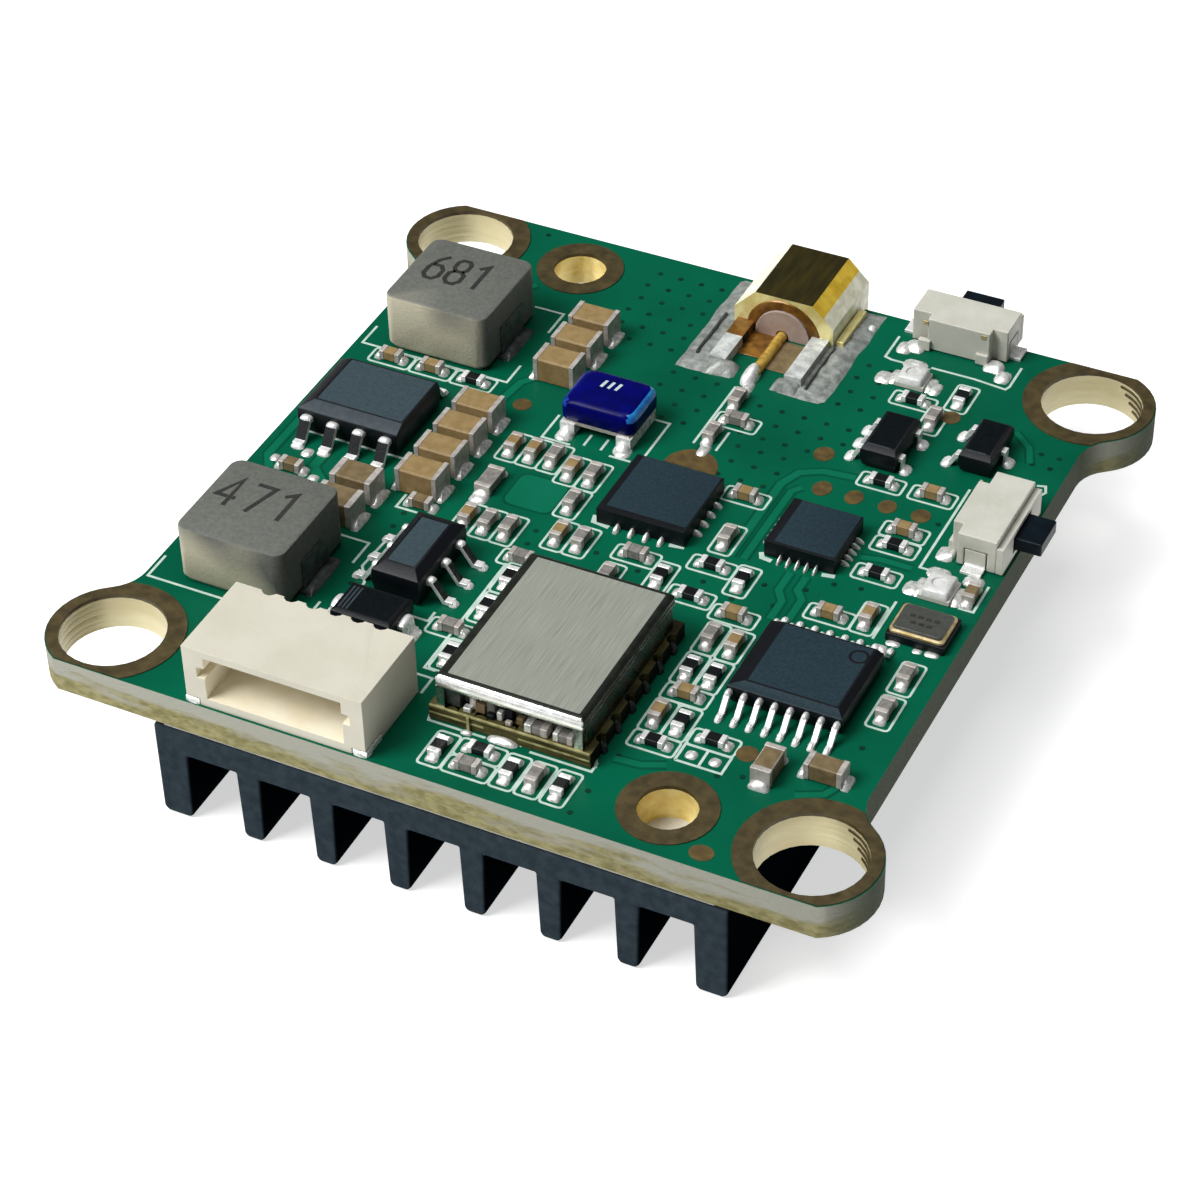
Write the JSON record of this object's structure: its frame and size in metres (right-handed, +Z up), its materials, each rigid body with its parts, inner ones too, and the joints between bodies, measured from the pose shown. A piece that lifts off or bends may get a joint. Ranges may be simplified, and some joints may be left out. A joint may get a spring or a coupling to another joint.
{
  "type": "radio transmitter board",
  "caption": "Square four-lobed radio transmitter board for a drone stack, with chips, side buttons, a wire connector, a coaxial socket and a finned heat sink beneath.",
  "frame": {"origin": "centre of the bounding box at the level of the fin tips, which the part stands on", "axes": "+Z up out of the component side; +X to the right along the front edge, which carries the wire connector; +Y to the rear edge, which carries the coaxial socket"},
  "size_m": [0.036, 0.0374, 0.0093],
  "materials": {
    "board": "glossy green solder mask on glass-epoxy",
    "plating": "dull gold-plated copper",
    "tape": "soft matte thermal tape",
    "heat_sink": "dark slate anodised extrusion",
    "ivory_plastic": "ivory moulded nylon",
    "tinned_metal": "bright tin plating",
    "gold": "polished gold plating",
    "dielectric": "waxy pinkish beige insulator",
    "black_plastic": "black moulded plastic",
    "ferrite": "pressed grey metal powder",
    "copper": "enamelled copper wire with tinned ends",
    "chip": "black moulding compound with a slightly rough top",
    "blue_plastic": "glossy deep blue",
    "shield": "brushed nickel silver sheet",
    "capacitor": "tan fired ceramic with tinned ends",
    "laminate": "bare olive laminate",
    "led": "milky white lens",
    "crystal_can": "grey metal lid with a brass rim"
  },
  "bodies": {
    "board": {"circuit_board": "board", "hole_plating_front_left": "plating", "hole_plating_front_right": "plating", "hole_plating_rear_left": "plating", "hole_plating_rear_right": "plating", "hole_plating_small_front": "plating", "hole_plating_small_rear": "plating", "thermal_pad": "tape", "heat_sink": "heat_sink", "connector_housing": "ivory_plastic", "connector_contact_1": "tinned_metal", "connector_contact_2": "tinned_metal", "connector_contact_3": "tinned_metal", "connector_contact_4": "tinned_metal", "connector_contact_5": "tinned_metal", "connector_contact_6": "tinned_metal", "connector_anchor_left": "tinned_metal", "connector_anchor_right": "tinned_metal", "coax_shell": "gold", "coax_insulator": "dielectric", "coax_center_contact": "gold", "rear_switch_housing": "ivory_plastic", "rear_switch_frame": "ivory_plastic", "rear_switch_dome": "tinned_metal", "rear_switch_terminal_left": "tinned_metal", "rear_switch_terminal_right": "tinned_metal", "right_switch_housing": "ivory_plastic", "right_switch_frame": "ivory_plastic", "right_switch_dome": "tinned_metal", "right_switch_terminal_left": "tinned_metal", "right_switch_terminal_right": "tinned_metal", "inductor_front_core": "ferrite", "inductor_front_winding": "copper", "inductor_rear_core": "ferrite", "inductor_rear_winding": "copper", "step_down_converter": "chip", "flat_pack_chip": "chip", "catch_diode": "chip", "power_amplifier": "chip", "modulator_chip": "chip", "microcontroller": "chip", "small_regulator": "chip", "small_transistor": "chip", "blue_filter": "blue_plastic", "module_board": "laminate", "module_shield": "shield", "module_chip": "chip", "crystal_base": "black_plastic", "crystal_lid": "crystal_can", "led_rear": "led", "led_right": "led", "capacitor_middle_1": "capacitor", "capacitor_middle_2": "capacitor", "capacitor_middle_3": "capacitor", "capacitor_middle_4": "capacitor", "capacitor_rear_1": "capacitor", "capacitor_rear_2": "capacitor", "capacitor_rear_3": "capacitor"},
    "rear_button": {"rear_switch_plunger": "black_plastic"},
    "right_button": {"right_switch_plunger": "black_plastic"}
  },
  "joints": [
    {"name": "rear_button_press", "type": "slide", "parent": "board", "child": "rear_button", "axis": [0, -1, 0], "range_m": [0, 0.00025], "stiffness_N_per_m": 1500, "springref_m": -0.0003},
    {"name": "right_button_press", "type": "slide", "parent": "board", "child": "right_button", "axis": [-1, 0, 0], "range_m": [0, 0.00025], "stiffness_N_per_m": 1500, "springref_m": -0.0003}
  ]
}
